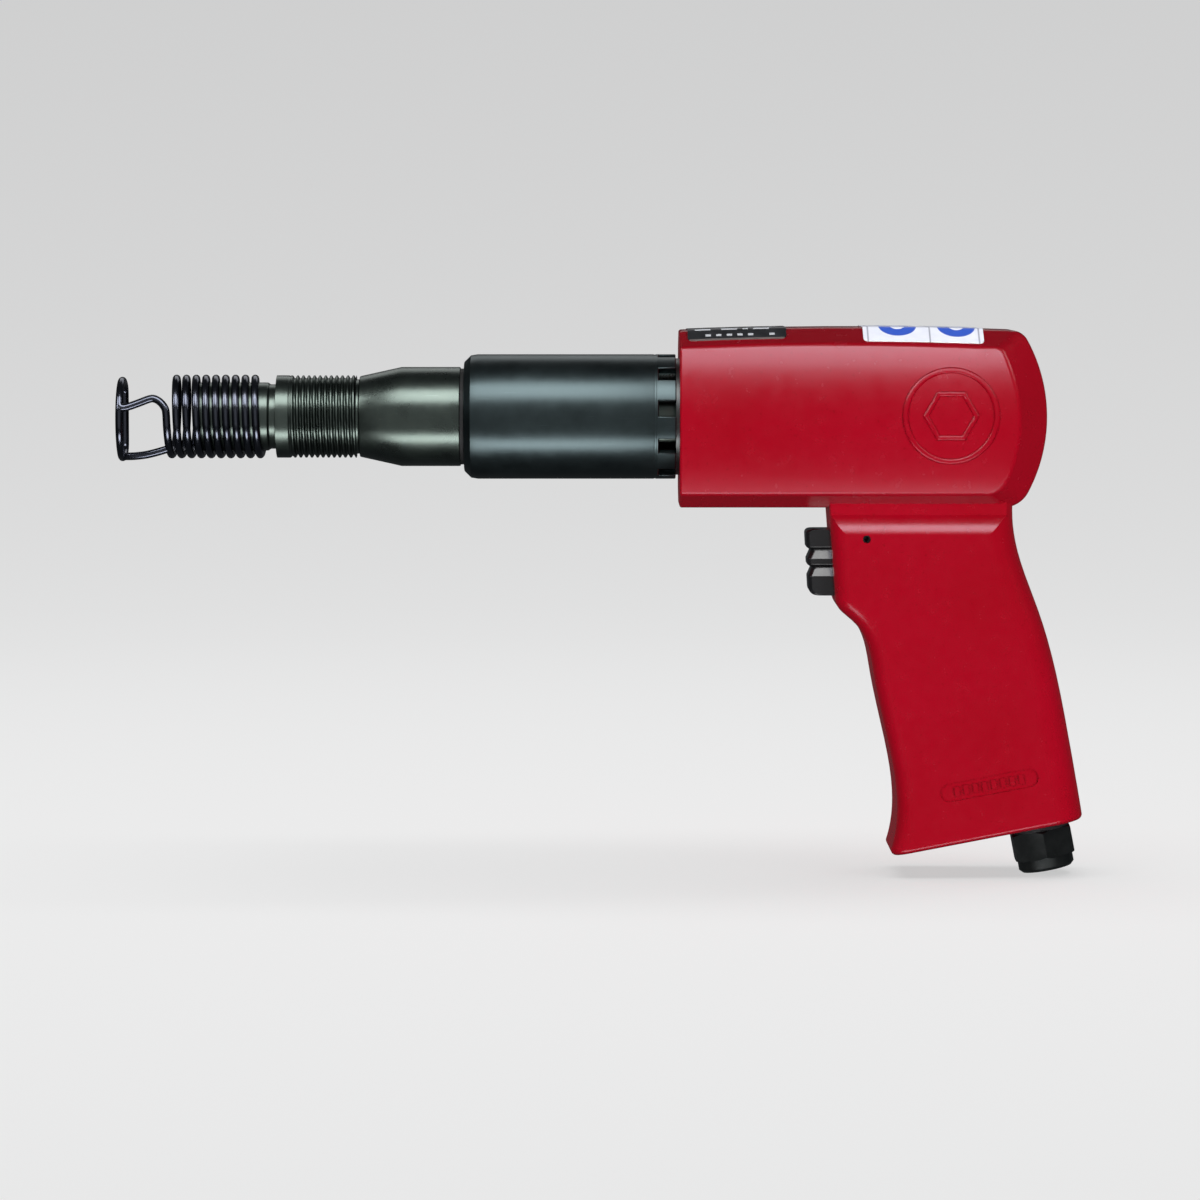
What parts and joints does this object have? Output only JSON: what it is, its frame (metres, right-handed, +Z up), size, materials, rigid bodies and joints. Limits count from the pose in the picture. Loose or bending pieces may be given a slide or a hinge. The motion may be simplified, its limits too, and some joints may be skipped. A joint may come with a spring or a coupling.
{
  "type": "pneumatic air hammer",
  "caption": "Pistol-grip pneumatic air hammer with a screw-on retainer spring, stepped steel barrel, slotted exhaust sleeve, red cast handle and push trigger.",
  "frame": {"origin": "front end of the cylindrical shank bore, on the barrel's axis", "axes": "+X from the nose to the rear along the barrel, +Z up, the grip hangs down toward -Z, +Y is the tool's right side seen from behind the nose"},
  "size_m": [0.3111, 0.052, 0.1774],
  "materials": {
    "red_paint": "satin",
    "barrel_steel": "satin",
    "blued_steel": "satin",
    "black_steel": "satin",
    "spring_steel": "gloss",
    "hard_steel": "polished",
    "mesh_steel": "satin",
    "brass_turned": "satin",
    "black_rubber": "matte",
    "black_plastic": "gloss",
    "label_film": "satin",
    "dark_film": "satin"
  },
  "bodies": {
    "tool": {"handle": "red_paint", "barrel": "barrel_steel", "exhaust_sleeve": "blued_steel", "lock_ring": "black_steel", "sleeve_seal": "black_rubber", "barrel_seal": "black_rubber", "valve_box": "hard_steel", "valve_cap": "hard_steel", "valve_dowels": "hard_steel", "valve_gasket": "black_rubber", "top_label": "label_film", "front_label": "dark_film", "trigger_pin": "black_steel", "throttle_bushing": "brass_turned", "bushing_seals": "black_rubber", "throttle_spring": "spring_steel", "inlet_bushing": "black_steel", "inlet_gasket": "black_rubber", "inlet_screen": "mesh_steel"},
    "retainer": {"retainer_spring": "spring_steel"},
    "piston": {"piston": "hard_steel"},
    "cycle_valve": {"cycle_valve": "hard_steel"},
    "trigger": {"trigger": "black_plastic"},
    "throttle": {"throttle_valve": "hard_steel", "throttle_seat_ring": "black_rubber"}
  },
  "joints": [
    {"name": "trigger_slide", "type": "slide", "parent": "tool", "child": "trigger", "axis": [1, 0, 0], "range_m": [0, 0.005], "stiffness_N_per_m": 1500, "springref_m": -0.004},
    {"name": "throttle_slide", "type": "slide", "parent": "tool", "child": "throttle", "axis": [1, 0, 0], "range_m": [0, 0.005], "deforming": ["throttle_spring"]},
    {"name": "piston_slide", "type": "slide", "parent": "tool", "child": "piston", "axis": [-1, 0, 0], "range_m": [0, 0.0985]},
    {"name": "cycle_valve_slide", "type": "slide", "parent": "tool", "child": "cycle_valve", "axis": [1, 0, 0], "range_m": [0, 0.0014]},
    {"name": "retainer_slide", "type": "slide", "parent": "tool", "child": "retainer", "axis": [-1, 0, 0], "range_m": [0, 0.026]}
  ],
  "couplings": [
    {"joint": "throttle_slide", "follows": "trigger_slide", "ratio": 1}
  ]
}
